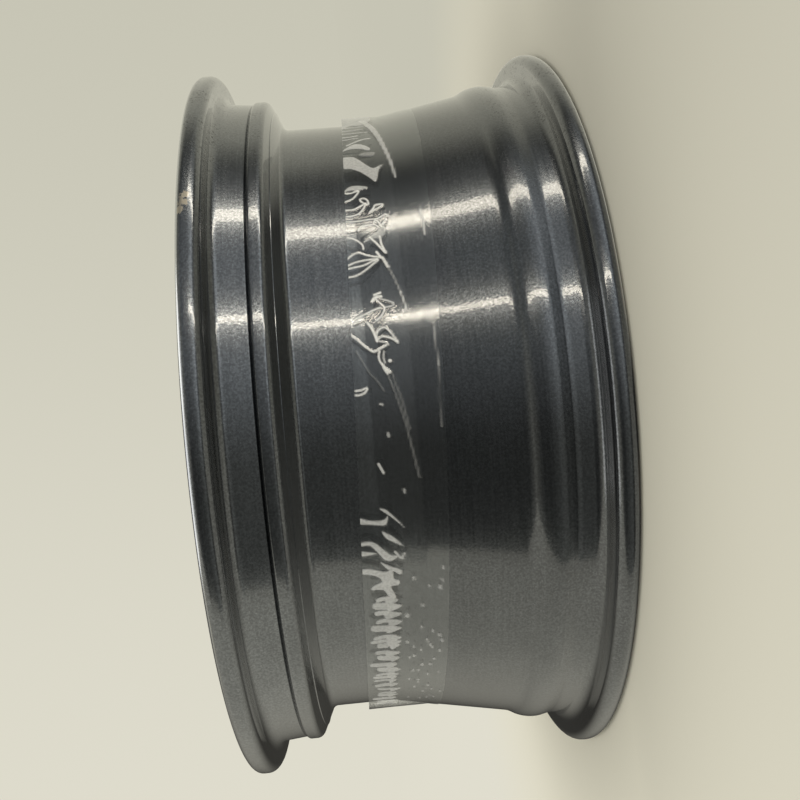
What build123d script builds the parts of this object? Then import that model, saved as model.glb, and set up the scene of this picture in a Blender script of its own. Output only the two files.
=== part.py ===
from build123d import *

import os
from math import atan2, cos, degrees, pi, radians, sin, tan

# A 17 x 7.5 inch cast aluminium car wheel with a band of clear tape round its barrel.
# The origin is the centre of the face that bolts to the hub. +Z runs along the axle to the
# front of the wheel, and the wheel lies on its back flange. All sizes are in millimetres.

# Rim, to the J flange standard
bead_seat_d = 436.6
flange_gap = 189.0
flange_height = 17.5
flange_width = 12.25
flange_root_round = 6.5
flange_tip_round = 5.5
front_edge_round = 4.2
seat_angle = 5.0
wheel_offset = 40.0
barrel_wall = 6.0
bead_wall = 8.0

# Front bead lock, drop well and barrel taper, as distances in from the front flange
groove_inset = 19.2
groove_width = 1.2
groove_depth = 1.0
front_hump_width = 7.6
front_hump_rise = 1.6
well_depth = 18.7
well_wall_run = 8.8
well_width = 38.5
well_round = 4.0
taper_angle = 10.54

# Back hump, as distances in from the back flange
hump_foot_inset = 37.2
hump_peak_inset = 27.7
hump_end_inset = 13.5
hump_round = 20.0

# Lips
front_lip_width = 12.8
back_lip_width = 13.0

# Hub
hub_bore_d = 66.6
hub_bore_depth = 26.0
cap_hole_d = 60.0
cap_recess_d = 68.0
cap_recess_depth = 3.0
hub_pad_d = 146.0
hub_height = 40.0
bolt_circle_d = 112.0
bolt_count = 5
bolt_hole_d = 15.0
bolt_seat_angle = 60.0
bolt_seat_d = 26.0
bolt_grip = 13.0
bolt_pocket_d = 32.0
pad_pocket_width = 18.0
pad_pocket_arc = 24.0
pad_pocket_depth = 7.0

# Spokes: five pairs, each pair opening from the hub to the rim
pair_count = 5
pair_start_angle = -18.0
spoke_root_r = 70.0
spoke_tip_r = 205.0
spoke_root_offset = 13.0
spoke_tip_offset = 33.0
spoke_root_width = 23.0
spoke_tip_width = 20.0
spoke_front_drop = 10.5
spoke_front_bow = 3.5
spoke_back_root = 8.0
spoke_back_tip = 22.0
spoke_draft = 5.0
window_ring = 2.8
wide_window_start_r = 86.0
slim_window_start_r = 99.0
wide_window_root_round = 14.0
wide_window_tip_round = 13.0
slim_window_root_round = 5.0
slim_window_tip_round = 9.0
channel_width = 7.0
channel_floor = 26.0
channel_start_r = 104.0
channel_end_r = 182.0

# Valve hole, through the front wall of the well
valve_hole_d = 11.5
valve_face_d = 18.0
valve_face_depth = 0.6
valve_wall = 5.0
valve_pocket_d = 16.0
valve_reach = 25.0
valve_angle = 90.0

# Clear tape, wound round the barrel and a little askew
tape_width = 45.0
tape_thickness = 0.3
tape_gap = 0.2
tape_stand_off = 4.4
tape_edge_inset = 67.5
tape_skew = 2.25

# Places along the axle
front_flank_z = flange_gap / 2 - wheel_offset
back_flank_z = -flange_gap / 2 - wheel_offset
front_z = front_flank_z + flange_width
back_z = back_flank_z - flange_width

# Radii
seat_r = bead_seat_d / 2
flange_r = seat_r + flange_height
well_r = seat_r - well_depth
front_hump_r = seat_r - groove_inset * tan(radians(seat_angle)) + front_hump_rise
hump_start_inset = groove_inset + groove_width * 1.5
well_start_inset = hump_start_inset + front_hump_width + well_wall_run
taper_start_inset = well_start_inset + well_width
taper_slope = tan(radians(taper_angle))
hump_foot_z = back_flank_z + hump_foot_inset
taper_start_z = front_flank_z - taper_start_inset
hump_foot_r = well_r + (taper_start_z - hump_foot_z) * taper_slope
hump_peak_r = seat_r + 1.7
inner_seat_r = seat_r - bead_wall - 1.5
inner_well_r = well_r - barrel_wall
inner_foot_r = hump_foot_r - barrel_wall
front_lip_r = flange_r - front_lip_width
back_lip_r = flange_r - back_lip_width
window_r = inner_seat_r - window_ring


def seat_at(inset):
    """Radius of a bead seat at a distance in from its flange."""
    return seat_r - inset * tan(radians(seat_angle))


# Rim section as corners: radius, height and the round on the corner
rim_corners = [
    (front_lip_r, front_z, 0),
    (flange_r, front_z, front_edge_round),
    (flange_r, front_flank_z, flange_tip_round),
    (seat_r, front_flank_z, flange_root_round),
    (seat_at(groove_inset), front_flank_z - groove_inset, 0),
    (seat_at(groove_inset) - groove_depth, front_flank_z - groove_inset - groove_width / 2, 0),
    (front_hump_r, front_flank_z - hump_start_inset, 0),
    (front_hump_r, front_flank_z - hump_start_inset - front_hump_width, well_round),
    (well_r, front_flank_z - well_start_inset, well_round),
    (well_r, taper_start_z, 0),
    (hump_foot_r, hump_foot_z, 0),
    (hump_peak_r, back_flank_z + hump_peak_inset, hump_round),
    (seat_at(hump_end_inset), back_flank_z + hump_end_inset, 0),
    (seat_r, back_flank_z, flange_root_round),
    (flange_r, back_flank_z, flange_tip_round),
    (flange_r, back_z, flange_tip_round),
    (back_lip_r, back_z, 0),
    (inner_seat_r, back_flank_z + 1, 0),
    (inner_seat_r, back_flank_z + 24, 0),
    (inner_foot_r, hump_foot_z - 1, 0),
    (inner_well_r, taper_start_z - 1, 0),
    (inner_well_r, front_flank_z - well_start_inset + 4, 0),
    (inner_seat_r, front_flank_z - well_start_inset + 11, 0),
    (inner_seat_r, front_flank_z + 1.5, 0),
]

with BuildPart() as rim:
    with BuildSketch(Plane.XZ):
        with BuildLine():
            FilletPolyline(
                *[(r, z) for r, z, _ in rim_corners],
                radius=[radius for _, _, radius in rim_corners],
                close=True,
            )
        make_face()
    revolve(axis=Axis.Z)

# Disc that the spokes are left from, dished from the hub to the rim
disc_r = inner_seat_r + 2.0
hub_front_r = wide_window_start_r - 8.0
crown_tip_z = front_z - spoke_front_drop

with BuildPart() as disc:
    with BuildSketch(Plane.XZ):
        with BuildLine():
            Polyline(
                (hub_front_r, hub_height),
                (0, hub_height),
                (0, 0),
                (hub_pad_d / 2, 0),
                (hub_pad_d / 2 + 3, spoke_back_root),
            )
            SagittaArc(
                (hub_pad_d / 2 + 3, spoke_back_root),
                (disc_r, spoke_back_tip),
                spoke_front_bow,
            )
            Line((disc_r, spoke_back_tip), (disc_r, crown_tip_z))
            SagittaArc((disc_r, crown_tip_z), (hub_front_r, hub_height), spoke_front_bow)
        make_face()
    revolve(axis=Axis.Z)


def spoke_edge(r, side):
    """Distance of a spoke's edge from the axis of its pair, at a radius."""
    share = (r - spoke_root_r) / (spoke_tip_r - spoke_root_r)
    centre = spoke_root_offset + (spoke_tip_offset - spoke_root_offset) * share
    half_width = (spoke_root_width + (spoke_tip_width - spoke_root_width) * share) / 2
    return centre + side * half_width


def outer_spoke_edge(r):
    """The outer edge of a spoke, seen from the axis of the wide window beside it."""
    half_pitch = pi / pair_count
    lateral = spoke_edge(r, 1)
    return (
        r * cos(half_pitch) + lateral * sin(half_pitch),
        r * sin(half_pitch) - lateral * cos(half_pitch),
    )


def window(corners, start_r, root_round, tip_round):
    """A window between two straight edges, the hub and the rim, with its axis along X."""
    with BuildSketch() as outline:
        with BuildLine():
            Polyline(*corners, *[(x, -y) for x, y in reversed(corners)], close=True)
        make_face()
        Circle(window_r, mode=Mode.INTERSECT)
        Circle(start_r, mode=Mode.SUBTRACT)
        fillet(outline.vertices().sort_by(SortBy.DISTANCE)[:2], root_round)
        fillet(outline.vertices().sort_by(SortBy.DISTANCE)[-2:], tip_round)
    return outline.sketch


past_rim_r = 1.2 * spoke_tip_r
wide_window = window(
    [outer_spoke_edge(spoke_root_r), outer_spoke_edge(past_rim_r)],
    wide_window_start_r,
    wide_window_root_round,
    wide_window_tip_round,
)
slim_window = window(
    [(spoke_root_r, spoke_edge(spoke_root_r, -1)), (past_rim_r, spoke_edge(past_rim_r, -1))],
    slim_window_start_r,
    slim_window_root_round,
    slim_window_tip_round,
)

with BuildSketch() as spoke_channels:
    with BuildLine() as channel_line:
        Line(
            (channel_start_r, spoke_edge(channel_start_r, 0)),
            (channel_end_r, spoke_edge(channel_end_r, 0)),
        )
    SlotArc(channel_line.wire(), channel_width)
    mirror(about=Plane.XZ)

with BuildSketch() as pad_pocket:
    with BuildLine() as pocket_arc:
        CenterArc((0, 0), bolt_circle_d / 2, -pad_pocket_arc / 2, pad_pocket_arc)
    SlotArc(pocket_arc.wire(), pad_pocket_width)

# Valve hole: square to the middle of the front wall of the well
valve_wall_angle = degrees(atan2(well_wall_run, front_hump_r - well_r))
valve_r = (front_hump_r + well_r) / 2
valve_z = front_flank_z - well_start_inset + well_wall_run / 2
valve_seat = Plane(
    origin=(valve_r * cos(radians(valve_angle)), valve_r * sin(radians(valve_angle)), valve_z),
    x_dir=(-sin(radians(valve_angle)), cos(radians(valve_angle)), 0),
    z_dir=(
        sin(radians(valve_wall_angle)) * cos(radians(valve_angle)),
        sin(radians(valve_wall_angle)) * sin(radians(valve_angle)),
        -cos(radians(valve_wall_angle)),
    ),
)

# The wheel casting: the disc is cut to spokes, joined to the rim and machined
half_pitch_angle = 180 / pair_count
bolt_cone_top = bolt_grip + (bolt_seat_d - bolt_hole_d) / 2 / tan(radians(bolt_seat_angle / 2))

with BuildPart() as wheel:
    add(disc.part)
    with BuildSketch(Plane.XY.offset(front_z)):
        with PolarLocations(0, pair_count, start_angle=pair_start_angle):
            add(slim_window)
        with PolarLocations(0, pair_count, start_angle=pair_start_angle + half_pitch_angle):
            add(wide_window)
    extrude(amount=-front_z, taper=spoke_draft, mode=Mode.SUBTRACT)

    # Channels along the backs of the spokes
    with BuildSketch(Plane.XY):
        with PolarLocations(0, pair_count, start_angle=pair_start_angle):
            add(spoke_channels.sketch)
    extrude(amount=channel_floor, mode=Mode.SUBTRACT)

    # Hub bore and the seat of the cap
    with BuildSketch(Plane.XY):
        Circle(hub_bore_d / 2)
    extrude(amount=hub_bore_depth, mode=Mode.SUBTRACT)
    with Locations((0, 0, hub_height)):
        CounterBoreHole(cap_hole_d / 2, cap_recess_d / 2, cap_recess_depth)

    # Bolt holes with cone seats, at the foot of straight pockets
    with Locations((0, 0, bolt_cone_top)):
        with PolarLocations(bolt_circle_d / 2, bolt_count, start_angle=pair_start_angle):
            CounterSinkHole(bolt_hole_d / 2, bolt_seat_d / 2, counter_sink_angle=bolt_seat_angle)
    with BuildSketch(Plane.XY.offset(bolt_cone_top)):
        with PolarLocations(bolt_circle_d / 2, bolt_count, start_angle=pair_start_angle):
            Circle(bolt_pocket_d / 2)
    extrude(amount=hub_height, mode=Mode.SUBTRACT)

    # Shallow pockets in the hub pad, between the bolt holes
    with BuildSketch(Plane.XY):
        with PolarLocations(0, bolt_count, start_angle=pair_start_angle + half_pitch_angle):
            add(pad_pocket.sketch)
    extrude(amount=pad_pocket_depth, mode=Mode.SUBTRACT)

    add(rim.part)

    # Valve hole square to the front wall of the well, with a flat for the valve on either side
    with BuildSketch(valve_seat):
        Circle(valve_hole_d / 2)
    extrude(amount=valve_reach, both=True, mode=Mode.SUBTRACT)
    with BuildSketch(valve_seat.offset(-valve_face_depth)):
        Circle(valve_face_d / 2)
    extrude(amount=valve_hole_d, mode=Mode.SUBTRACT)
    with BuildSketch(valve_seat.offset(-valve_face_depth - valve_wall)):
        Circle(valve_pocket_d / 2)
    extrude(amount=-valve_reach, mode=Mode.SUBTRACT)

wheel.part.label = "wheel"

# Clear tape: its back half lies on the taper and its front margin stands off the well
tape_r = well_r + tape_stand_off
tape_meet_z = taper_start_z - (tape_stand_off - tape_gap) / taper_slope
tape_front_z = front_flank_z - tape_edge_inset
tape_reach = well_r * tan(radians(tape_skew))
tape_low_z = tape_front_z - tape_width - tape_reach
tape_low_r = tape_r + (tape_meet_z - tape_low_z) * taper_slope

with BuildPart() as clear_tape:
    with BuildSketch(Plane.XZ):
        with BuildLine():
            Polyline(
                (tape_r, tape_front_z + tape_reach),
                (tape_r, tape_meet_z),
                (tape_low_r, tape_low_z),
                (tape_low_r + tape_thickness, tape_low_z),
                (tape_r + tape_thickness, tape_meet_z),
                (tape_r + tape_thickness, tape_front_z + tape_reach),
                close=True,
            )
        make_face()
    revolve(axis=Axis.Z)
    for height, kept in ((tape_front_z, Keep.BOTTOM), (tape_front_z - tape_width, Keep.TOP)):
        split(bisect_by=Plane.XY.offset(height).rotated((0, tape_skew, 0)), keep=kept)

clear_tape.part.label = "clear_tape"

os.makedirs("parts", exist_ok=True)
for piece in (wheel, clear_tape):
    export_step(piece.part, f"parts/{piece.part.label}.step")
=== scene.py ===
"""A cast alloy car wheel with a band of clear tape round its barrel, dressed for a studio."""

import logging
import math
from collections.abc import Callable, Sequence
from dataclasses import dataclass
from enum import Enum

import bmesh
import bpy
import numpy as np
from bmesh.types import BMEdge, BMFace, BMesh, BMVert
from bpy.types import Material, Mesh, Node, NodeSocket, NodeTree, Object
from mathutils import Matrix, Vector


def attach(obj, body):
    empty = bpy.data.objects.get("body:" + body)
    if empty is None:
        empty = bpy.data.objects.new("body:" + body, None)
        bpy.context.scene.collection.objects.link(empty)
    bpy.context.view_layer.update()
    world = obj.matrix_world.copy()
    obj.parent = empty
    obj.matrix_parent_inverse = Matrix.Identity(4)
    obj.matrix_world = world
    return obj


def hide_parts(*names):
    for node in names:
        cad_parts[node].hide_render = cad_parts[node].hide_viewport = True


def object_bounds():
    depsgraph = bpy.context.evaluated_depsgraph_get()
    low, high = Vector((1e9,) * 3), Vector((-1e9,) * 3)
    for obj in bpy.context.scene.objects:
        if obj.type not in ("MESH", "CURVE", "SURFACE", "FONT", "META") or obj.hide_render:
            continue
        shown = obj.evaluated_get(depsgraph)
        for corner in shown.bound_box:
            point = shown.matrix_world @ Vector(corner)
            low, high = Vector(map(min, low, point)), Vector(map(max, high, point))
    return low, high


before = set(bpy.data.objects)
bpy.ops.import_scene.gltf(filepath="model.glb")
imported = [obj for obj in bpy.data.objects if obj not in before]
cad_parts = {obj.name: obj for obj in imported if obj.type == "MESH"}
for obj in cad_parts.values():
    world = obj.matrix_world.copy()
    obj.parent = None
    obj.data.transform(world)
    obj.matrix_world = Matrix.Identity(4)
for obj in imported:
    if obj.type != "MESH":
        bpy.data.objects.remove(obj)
cad_low, cad_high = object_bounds()

LOG = logging.getLogger("wheel")
MM = 0.001
TAU = 2 * math.pi
EIGHTHS = 8
SPIN_MERGE_MM = 2e-3
MERGE_M = 1e-6
STREAK_LENGTH_MM = 160.0
BODY = "root"
WHEEL_NODE = "wheel"
TAPE_NODE = "clear_tape"

Point = tuple[float, float]
Triple = tuple[float, float, float]


class Surface(Enum):
    """What a face of the casting is: lacquered all over, or turned bare on the front."""

    COATED = 0
    TURNED = 1


# Nodes and colours


def linear(code: str) -> tuple[float, float, float, float]:
    """Turns an sRGB hex colour into the linear colour that shaders take.

    Args:
        code: Six hex digits.

    Returns:
        Red, green, blue and an alpha of one.
    """
    shares = [int(code[i : i + 2], 16) / 255 for i in (0, 2, 4)]
    return (*[s / 12.92 if s <= 0.04045 else ((s + 0.055) / 1.055) ** 2.4 for s in shares], 1.0)


def add_node(tree: NodeTree, kind: str, inputs: dict | Sequence = (), **settings: object) -> Node:
    """Adds a node with its settings, its values and its links.

    Args:
        tree: The tree that gets the node.
        kind: The node's type, without the words that all of them start with.
        inputs: What each input gets, in order or by name or number: a value, another node's
            output, or a node, which stands for its first output.
        **settings: The node's own settings.

    Returns:
        The new node.
    """
    node = tree.nodes.new("ShaderNode" + kind)
    for name, value in settings.items():
        setattr(node, name, value)
    for key, value in inputs.items() if isinstance(inputs, dict) else enumerate(inputs):
        source = value.outputs[0] if isinstance(value, Node) else value
        if isinstance(source, NodeSocket):
            tree.links.new(source, node.inputs[key])
        else:
            node.inputs[key].default_value = source
    return node


def stepped(tree: NodeTree, *spans: Sequence) -> Node:
    """Smooth steps, multiplied together.

    Args:
        tree: The tree that works them out.
        *spans: For each step the value that is stepped, where the step starts and ends and,
            unless they are nought and one, the results there.

    Returns:
        The node that gives their product.
    """
    product = None
    for span in spans:
        step = add_node(tree, "MapRange", span, interpolation_type="SMOOTHSTEP")
        if product is not None:
            step = add_node(tree, "Math", (product, step), operation="MULTIPLY")
        product = step
    return product


def layered(tree: NodeTree, base: Node | Sequence[float], *layers: tuple) -> NodeSocket:
    """A colour with others laid over it.

    Args:
        tree: The tree that works it out.
        base: The colour below.
        *layers: For each one its share and its colour.

    Returns:
        The resulting colour's output.
    """
    for share, colour in layers:
        inputs = {0: share, 6: base, 7: colour}
        base = add_node(tree, "Mix", inputs, data_type="RGBA").outputs[2]
    return base


def even_grain(tree: NodeTree, size_mm: Sequence[float], detail: float, offset: float) -> Node:
    """Grain of a real size along each axis, on Object coordinates.

    Args:
        tree: The tree that gets it.
        size_mm: The grain's size along X, Y and Z, in millimetres.
        detail: How many finer layers it has.
        offset: Moves the pattern, so that two with one grain differ.

    Returns:
        The grain's node.
    """
    place = add_node(tree, "TexCoord").outputs["Object"]
    scale = [1 / (MM * size) for size in size_mm]
    moved = add_node(tree, "Mapping", {"Vector": place, "Scale": scale, "Location": (offset,) * 3})
    return add_node(tree, "TexNoise", {"Vector": moved, "Scale": 1.0, "Detail": detail})


def axle_distance(tree: NodeTree, place: NodeSocket) -> NodeSocket:
    """Distance of a place from the wheel's axle.

    Args:
        tree: The tree that works it out.
        place: The place's coordinates.

    Returns:
        The distance's output.
    """
    flat = add_node(tree, "VectorMath", (place, (1.0, 1.0, 0.0)), operation="MULTIPLY")
    return add_node(tree, "VectorMath", (flat,), operation="LENGTH").outputs["Value"]


def turned_streaks(tree: NodeTree, pitch_mm: float, offset: float) -> Node:
    """Streaks that run round the axle, as a lathe leaves them.

    Args:
        tree: The tree that gets them.
        pitch_mm: Their usual spacing in millimetres.
        offset: Moves the pattern, so that two with one pitch differ.

    Returns:
        The streaks' node.
    """
    place = add_node(tree, "TexCoord").outputs["Object"]
    x, _, z = add_node(tree, "SeparateXYZ", (place,)).outputs
    along = add_node(tree, "Math", (x, pitch_mm / STREAK_LENGTH_MM), operation="MULTIPLY")
    section = add_node(tree, "CombineXYZ", (axle_distance(tree, place), z, along))
    scale = (1 / (MM * pitch_mm),) * 3
    moved = add_node(tree, "Mapping", {"Vector": section, "Scale": scale, "Location": (offset,) * 3})
    return add_node(tree, "TexNoise", {"Vector": moved, "Scale": 1.0, "Detail": 3.0})


def new_material(name: str) -> tuple[Material, NodeTree]:
    """A material with an empty tree.

    Args:
        name: The material's name.

    Returns:
        The material and its tree.
    """
    material = bpy.data.materials.new(name)
    material.use_nodes = True
    material.node_tree.nodes.clear()
    return material, material.node_tree


# Finishes


@dataclass(frozen=True)
class Scuff:
    """A patch where the lacquer is rubbed through: its place round the wheel and its size."""

    angle: float
    radius_mm: float
    height_mm: float
    size_mm: float

    def centre(self) -> Vector:
        """The middle of the patch, in metres."""
        turn = math.radians(-self.angle)
        across, along = self.radius_mm * math.cos(turn), self.radius_mm * math.sin(turn)
        return Vector((across, along, self.height_mm)) * MM


@dataclass(frozen=True)
class GunmetalCoat:
    """Dark metallic paint under clear lacquer, sprayed on a turned barrel.

    The flakes make it darken fast away from the lights, the lacquer keeps their edges sharp, and
    the turning marks below run round the barrel as fine streaks.
    """

    colour: str = "65686b"
    flake_colour: str = "a9acb0"
    dirt_colour: str = "34322e"
    bare_colour: str = "bfb6a4"
    roughness: float = 0.24
    lacquer_roughness: float = 0.05
    turning_pitch_mm: float = 1.1
    turning_depth_mm: float = 0.008
    flake_mm: float = 0.5
    flake_share: float = 0.14
    dirt_share: float = 0.75
    grain_mm: float = 1.2
    peel_mm: float = 1.4
    peel_depth_mm: float = 0.022
    # Painted shade and light: the heights over which the paint goes from darker at the back to lighter
    # at the front
    painted_shade_height: Point = (-0.06, 0.05)
    dirt_side: Point = (0.09, 0.17)
    root_radius: Point = (0.2165, 0.2195)
    edge_radius: Point = (0.2325, 0.2345)
    front_edge: Point = (0.0645, 0.0662)
    back_edge: Point = (-0.1462, -0.1445)
    scuff_share: float = 0.62
    scuffs: tuple[Scuff, ...] = ()

    def material(self) -> Material:
        """Builds the paint's material."""
        material, tree = new_material("gunmetal_lacquer_on_turned_alloy")
        place = add_node(tree, "TexCoord").outputs["Object"]
        radius = axle_distance(tree, place)
        streaks = turned_streaks(tree, self.turning_pitch_mm, 0.0)
        dirt, worn = self.dirt(tree, place, radius), self.wear(tree, place, radius)
        dusty = add_node(tree, "Math", (dirt, self.dirt_share), operation="MULTIPLY")
        layers = ((dusty, linear(self.dirt_colour)), (worn, linear(self.bare_colour)))
        colour = layered(tree, self.paint(tree, place, streaks), *layers)
        roughness = stepped(tree, (streaks, 0.3, 0.7, self.roughness - 0.02, self.roughness + 0.02))
        for share, rise in ((dirt, 0.5), (worn, 0.2)):
            roughness = add_node(tree, "Math", (share, rise, roughness), operation="MULTIPLY_ADD")
        skin = self.skin(tree, streaks)
        inputs = {
            "Base Color": colour,
            "Metallic": 1.0,
            "Roughness": roughness,
            "Normal": skin,
            "Coat Weight": 1.0,
            "Coat Roughness": self.lacquer_roughness,
            "Coat Normal": skin,
        }
        add_node(tree, "OutputMaterial", (add_node(tree, "BsdfPrincipled", inputs),))
        return material

    def paint(self, tree: NodeTree, place: NodeSocket, streaks: Node) -> Node:
        """The colour of the clean paint, with its flakes, its uneven thickness and painted shade along
        the axle.

        Args:
            tree: The tree that gets it.
            place: The Object coordinates.
            streaks: The turning marks.

        Returns:
            The colour's node.
        """
        # The flakes are the brightest few of many small cells
        cells = add_node(tree, "TexVoronoi", {"Vector": place, "Scale": 1 / (MM * self.flake_mm)})
        lot = add_node(tree, "SeparateColor", (cells.outputs["Color"],))
        flakes = stepped(tree, (lot, 0.8, 1.0, 0.0, self.flake_share))
        paint = layered(tree, linear(self.colour), (flakes, linear(self.flake_colour)))

        # Clouds and fine grain of uneven tone, and painted shade and light: darker towards the back,
        # lighter towards the front
        clouds = even_grain(tree, (45, 45, 30), 3, 11.0)
        drift = add_node(tree, "Math", (streaks, clouds), operation="ADD")
        fine = even_grain(tree, (self.grain_mm,) * 3, 1, 13.0)
        height = add_node(tree, "SeparateXYZ", (place,)).outputs[2]
        shade = stepped(
            tree,
            (drift, 0.6, 1.4, 0.86, 1.12),
            (fine, 0.3, 0.7, 0.78, 1.22),
            (height, *self.painted_shade_height, 0.76, 1.12),
        )
        return add_node(tree, "VectorMath", {0: paint, "Scale": shade}, operation="SCALE")

    def dirt(self, tree: NodeTree, place: NodeSocket, radius: NodeSocket) -> Node:
        """Dark specks that gather in the roots of the flanges, on one side of the wheel.

        Args:
            tree: The tree that gets them.
            place: The Object coordinates.
            radius: The distance from the axle.

        Returns:
            The node that gives their share.
        """
        across = add_node(tree, "SeparateXYZ", (place,)).outputs[0]
        return stepped(
            tree,
            (even_grain(tree, (1.3, 1.3, 1.3), 2, 5.0), 0.56, 0.64),
            (even_grain(tree, (14, 14, 8), 2, 2.0), 0.42, 0.58),
            (across, *self.dirt_side),
            (radius, *self.root_radius),
        )

    def wear(self, tree: NodeTree, place: NodeSocket, radius: NodeSocket) -> Node:
        """Bare metal at the scuffs and along the outer edges of the flanges.

        Args:
            tree: The tree that gets it.
            place: The Object coordinates.
            radius: The distance from the axle.

        Returns:
            The node that gives its share.
        """
        rubbed: Node | float = 0.0
        for scuff in self.scuffs:
            near = add_node(tree, "VectorMath", (place, scuff.centre()), operation="DISTANCE")
            span = (near.outputs["Value"], 0.0, scuff.size_mm * MM, self.scuff_share, 0.0)
            rubbed = add_node(tree, "Math", (rubbed, stepped(tree, span)), operation="MAXIMUM")
        grit = even_grain(tree, (3.0, 3.0, 1.4), 4, 9.0)
        rubbed = add_node(tree, "Math", (grit, rubbed), operation="ADD")

        height = add_node(tree, "SeparateXYZ", (place,)).outputs[2]
        front = stepped(tree, (height, *self.front_edge))
        back = stepped(tree, (height, *self.back_edge, 1, 0))
        faces = add_node(tree, "Math", (front, back), operation="ADD")
        spots = even_grain(tree, (60, 60, 60), 3, 4.0)
        edges = stepped(tree, (radius, *self.edge_radius), (spots, 0.50, 0.62))
        edges = add_node(tree, "Math", (faces, edges), operation="MULTIPLY")
        bare = stepped(tree, (rubbed, 0.80, 0.95))
        return add_node(tree, "Math", (bare, edges), operation="MAXIMUM")

    def skin(self, tree: NodeTree, streaks: Node) -> Node:
        """The turning marks in the metal, and the peel of the lacquer over them.

        Args:
            tree: The tree that gets them.
            streaks: The turning marks.

        Returns:
            The node that gives the normal.
        """
        fine = turned_streaks(tree, self.turning_pitch_mm / 3, 7.0)
        marks = add_node(tree, "Math", (fine, 0.3, streaks), operation="MULTIPLY_ADD")
        inputs = {"Height": marks, "Distance": self.turning_depth_mm * MM, "Strength": 1.0}
        turned = add_node(tree, "Bump", inputs)
        peel = even_grain(tree, (self.peel_mm,) * 3, 1, 3.0)
        inputs = {"Height": peel, "Distance": self.peel_depth_mm * MM, "Strength": 1.0}
        return add_node(tree, "Bump", {**inputs, "Normal": turned})


@dataclass(frozen=True)
class TurnedFace:
    """Bare aluminium, faced with a diamond tool and lacquered.

    The tool leaves a spiral of fine grooves, so a light stretches into a soft spoke across them.
    The real pitch of about 0.2 mm is too fine to show and is drawn four times as coarse.
    """

    colour: str = "c6c8ca"
    roughness: float = 0.2
    pitch_mm: float = 0.8
    groove_depth_mm: float = 0.012

    def material(self) -> Material:
        """Builds the turned metal's material."""
        material, tree = new_material("diamond_turned_aluminium")
        place = add_node(tree, "TexCoord").outputs["Object"]
        # A wave node's rings repeat every twentieth of TAU
        inputs = {"Vector": place, "Scale": TAU / 20 / (MM * self.pitch_mm), "Distortion": 0.0}
        rings = add_node(tree, "TexWave", inputs, wave_type="RINGS", rings_direction="Z")
        grain = even_grain(tree, (9, 9, 9), 3, 0.0)
        inputs = {0: linear(self.colour)[:3], "Scale": stepped(tree, (grain, 0.3, 0.7, 0.97, 1.02))}
        colour = add_node(tree, "VectorMath", inputs, operation="SCALE")
        inputs = {
            "Height": rings.outputs["Fac"],
            "Distance": self.groove_depth_mm * MM,
            "Strength": 1.0,
        }
        grooves = add_node(tree, "Bump", inputs)
        inputs = {
            "Base Color": colour,
            "Metallic": 1.0,
            "Roughness": stepped(tree, (grain, 0.3, 0.7, self.roughness, self.roughness + 0.03)),
            "Normal": grooves,
            "Coat Weight": 0.4,
            "Coat Roughness": 0.06,
        }
        add_node(tree, "OutputMaterial", (add_node(tree, "BsdfPrincipled", inputs),))
        return material


@dataclass(frozen=True)
class ClearFilm:
    """Clear polypropylene packing tape: a mirror at a slant, and see-through face on.

    Where it has lifted or folded it is painted pale: partly haze, partly painted glints and reflections.
    """

    colour: str = "fbfcfc"
    gloss_colour: str = "ffffff"
    haze_and_glint_colour: str = "efefec"
    face_on: float = 0.06
    roughness: float = 0.09
    haze_and_glint_roughness: float = 0.3
    ripple_mm: Triple = (0.9, 0.9, 1.2)
    ripple_depth_mm: float = 0.034

    def material(self) -> Material:
        """Builds the film's material."""
        material, tree = new_material("clear_polypropylene_film")
        grain = even_grain(tree, self.ripple_mm, 2, 0.0)
        inputs = {"Height": grain, "Distance": self.ripple_depth_mm * MM, "Strength": 1.0}
        ripple = add_node(tree, "Bump", inputs)
        clear = add_node(tree, "BsdfTransparent", (linear(self.colour),))
        inputs = {"Base Color": linear(self.gloss_colour), "Metallic": 1.0, "Normal": ripple}
        mirror = add_node(tree, "BsdfPrincipled", {**inputs, "Roughness": self.roughness})
        inputs = {"Base Color": linear(self.haze_and_glint_colour), "Normal": ripple}
        pale = add_node(tree, "BsdfPrincipled", {**inputs, "Roughness": self.haze_and_glint_roughness})

        # The mirror's share grows with the fifth power of the slant
        facing = add_node(tree, "LayerWeight", {"Blend": 0.5}).outputs["Facing"]
        slant = add_node(tree, "Math", (facing, 5.0), operation="POWER")
        terms = (slant, 1 - self.face_on, self.face_on)
        share = add_node(tree, "Math", terms, operation="MULTIPLY_ADD", use_clamp=True)
        glossy = add_node(tree, "MixShader", (share, clear, mirror))

        # The marked places are painted pale: partly haze, partly painted highlights and reflections
        haze_and_glint = add_node(tree, "Attribute", attribute_name="haze_and_glint").outputs["Fac"]
        terms = (haze_and_glint, stepped(tree, (grain, 0.25, 0.65, 0.8, 1.1)))
        haze_and_glint_share = add_node(tree, "Math", terms, operation="MULTIPLY", use_clamp=True)
        add_node(tree, "OutputMaterial", (add_node(tree, "MixShader", (haze_and_glint_share, glossy, pale)),))
        return material


# Mesh work


def round_corner(bm: BMesh, vert: BMVert, radius: float, segments: int) -> None:
    """Rounds one corner of an outline.

    Args:
        bm: The mesh.
        vert: The corner.
        radius: The round's radius.
        segments: How many edges it gets.
    """
    first, second = (edge.other_vert(vert).co - vert.co for edge in vert.link_edges)
    bmesh.ops.bevel(
        bm,
        geom=[vert],
        offset=radius / math.tan(first.angle(second) / 2),
        offset_type="OFFSET",
        segments=segments,
        profile=0.5,
        affect="VERTICES",
        material=-1,
        clamp_overlap=True,
    )


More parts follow.
